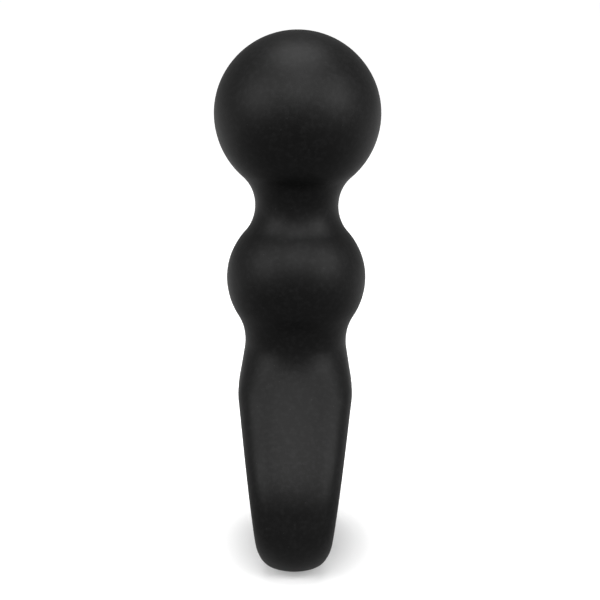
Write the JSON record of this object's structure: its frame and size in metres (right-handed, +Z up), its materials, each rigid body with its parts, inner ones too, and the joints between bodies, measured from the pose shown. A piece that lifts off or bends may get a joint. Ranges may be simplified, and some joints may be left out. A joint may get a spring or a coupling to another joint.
{
  "type": "hand massager",
  "caption": "Cordless hand massager: a large and a small ball over a tapered grip in one matt silicone skin, with a motor in the top ball and a button and charging contacts in the grip.",
  "frame": {"origin": "middle of the flat foot, on the surface it stands on", "axes": "+Z up through both balls, +Y from the grip's middle towards the power button, +X across the narrow width of the grip"},
  "size_m": [0.044, 0.0668, 0.1414],
  "materials": {
    "silicone": "soft-touch matt moulded silicone",
    "core_plastic": "moulded ABS, fine texture",
    "dark_plastic": "moulded ABS, fine texture",
    "button_plastic": "satin moulded plastic",
    "light_diffuser": "frosted translucent plastic",
    "boot_rubber": "matt rubber",
    "screw_steel": "zinc plated, satin",
    "can_steel": "nickel plated, satin",
    "shaft_steel": "ground and polished",
    "weight_metal": "sintered metal",
    "magnet": "nickel coated ferrite",
    "bronze": "sintered bronze",
    "copper_wire": "enamelled wire",
    "contact_gold": "gold plated",
    "cell_wrap": "shrink sleeve",
    "board_green": "solder mask",
    "lead_red": "wire insulation",
    "lead_black": "wire insulation",
    "lead_blue": "wire insulation"
  },
  "bodies": {
    "housing": {"silicone_skin": "silicone", "left_core_shell": "core_plastic", "right_core_shell": "core_plastic", "core_screws": "screw_steel", "motor_cradle": "dark_plastic", "motor_boot": "boot_rubber", "motor_can": "can_steel", "motor_magnets": "magnet", "motor_end_bell": "core_plastic", "shaft_bushes": "bronze", "motor_brushes": "bronze", "motor_terminals": "contact_gold", "battery_cell": "cell_wrap", "battery_tabs": "can_steel", "battery_foam": "boot_rubber", "battery_saddles": "core_plastic", "circuit_board": "board_green", "board_chips": "dark_plastic", "status_led": "light_diffuser", "tact_switch": "dark_plastic", "light_ring": "light_diffuser", "charge_pads": "contact_gold", "charge_magnets": "magnet", "charge_board": "board_green", "motor_leads": "lead_red", "battery_leads": "lead_black", "charge_leads": "lead_blue"},
    "rotor": {"motor_shaft": "shaft_steel", "armature_core": "can_steel", "armature_windings": "copper_wire", "commutator": "bronze", "eccentric_weight": "weight_metal"},
    "switch_plunger": {"switch_stem": "core_plastic"},
    "button": {"power_button": "button_plastic"}
  },
  "joints": [
    {"name": "button_press", "type": "slide", "parent": "housing", "child": "button", "axis": [0, -1, 0], "range_m": [0, 0.0005], "stiffness_N_per_m": 600},
    {"name": "plunger_press", "type": "slide", "parent": "housing", "child": "switch_plunger", "axis": [0, -1, 0], "range_m": [0, 0.0005]},
    {"name": "rotor_spin", "type": "hinge", "parent": "housing", "child": "rotor", "pos_m": [0, 0, 0.12], "axis": [0, 0, 1], "continuous": true}
  ],
  "couplings": [
    {"joint": "plunger_press", "follows": "button_press", "ratio": 1}
  ]
}
